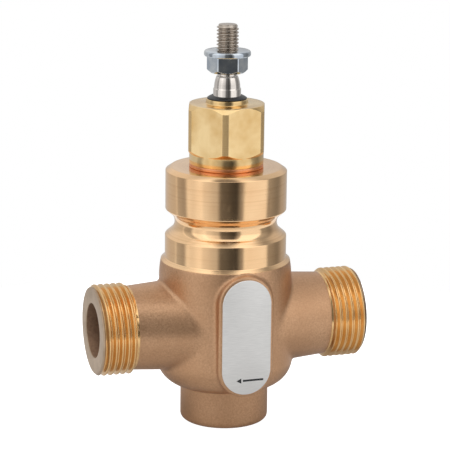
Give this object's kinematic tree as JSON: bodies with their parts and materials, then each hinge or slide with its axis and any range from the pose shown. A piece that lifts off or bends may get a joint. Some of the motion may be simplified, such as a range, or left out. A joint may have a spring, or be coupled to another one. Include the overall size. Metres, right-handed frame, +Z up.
{
  "type": "globe valve",
  "caption": "Straight globe valve: cast bronze body with male-threaded ports, grooved clamp neck, brass gland housing, and a stem that lifts a contoured plug off its seat.",
  "frame": {"origin": "centre of the foot's flat underside, on the stem's axis", "axes": "+Z up along the stem; +X along the port axis, out of the inlet port; the nameplate faces -Y"},
  "size_m": [0.1, 0.0511, 0.1466],
  "materials": {
    "cast_bronze": "sand-cast body with a turned, polished neck and cut threads",
    "turned_brass": "bright turned and milled",
    "copper": "soft copper, satin",
    "stainless_steel": "ground",
    "zinc_steel": "zinc plated with a bluish passivation",
    "spring_steel": "phosphated spring steel",
    "plate_aluminium": "matt metallic plate, bare but for a flow arrow",
    "black_rubber": "moulded rubber",
    "white_ptfe": "turned PTFE",
    "bush_bronze": "sintered bearing bronze"
  },
  "bodies": {
    "body": {"valve_body": "cast_bronze", "seat_ring": "stainless_steel", "nameplate": "plate_aluminium", "gland_gasket": "copper", "gland_housing": "turned_brass", "stem_wiper": "black_rubber", "upper_guide_bush": "bush_bronze", "upper_backup_ring": "white_ptfe", "upper_o_ring": "black_rubber", "o_ring_spacer": "turned_brass", "lower_o_ring": "black_rubber", "lower_backup_ring": "white_ptfe", "lower_guide_bush": "bush_bronze", "bush_circlip": "spring_steel"},
    "stem": {"valve_stem": "stainless_steel", "valve_plug": "turned_brass", "plug_seal": "white_ptfe", "plug_washer": "stainless_steel", "plug_nut": "stainless_steel"},
    "nut": {"coupling_nut": "zinc_steel"}
  },
  "joints": [
    {"name": "stem_lift", "type": "slide", "parent": "body", "child": "stem", "axis": [0, 0, 1], "range_m": [0, 0.02]},
    {"name": "nut_turn", "type": "hinge", "parent": "stem", "child": "nut", "pos_m": [0, 0, 0.13317], "axis": [0, 0, 1], "continuous": true}
  ]
}
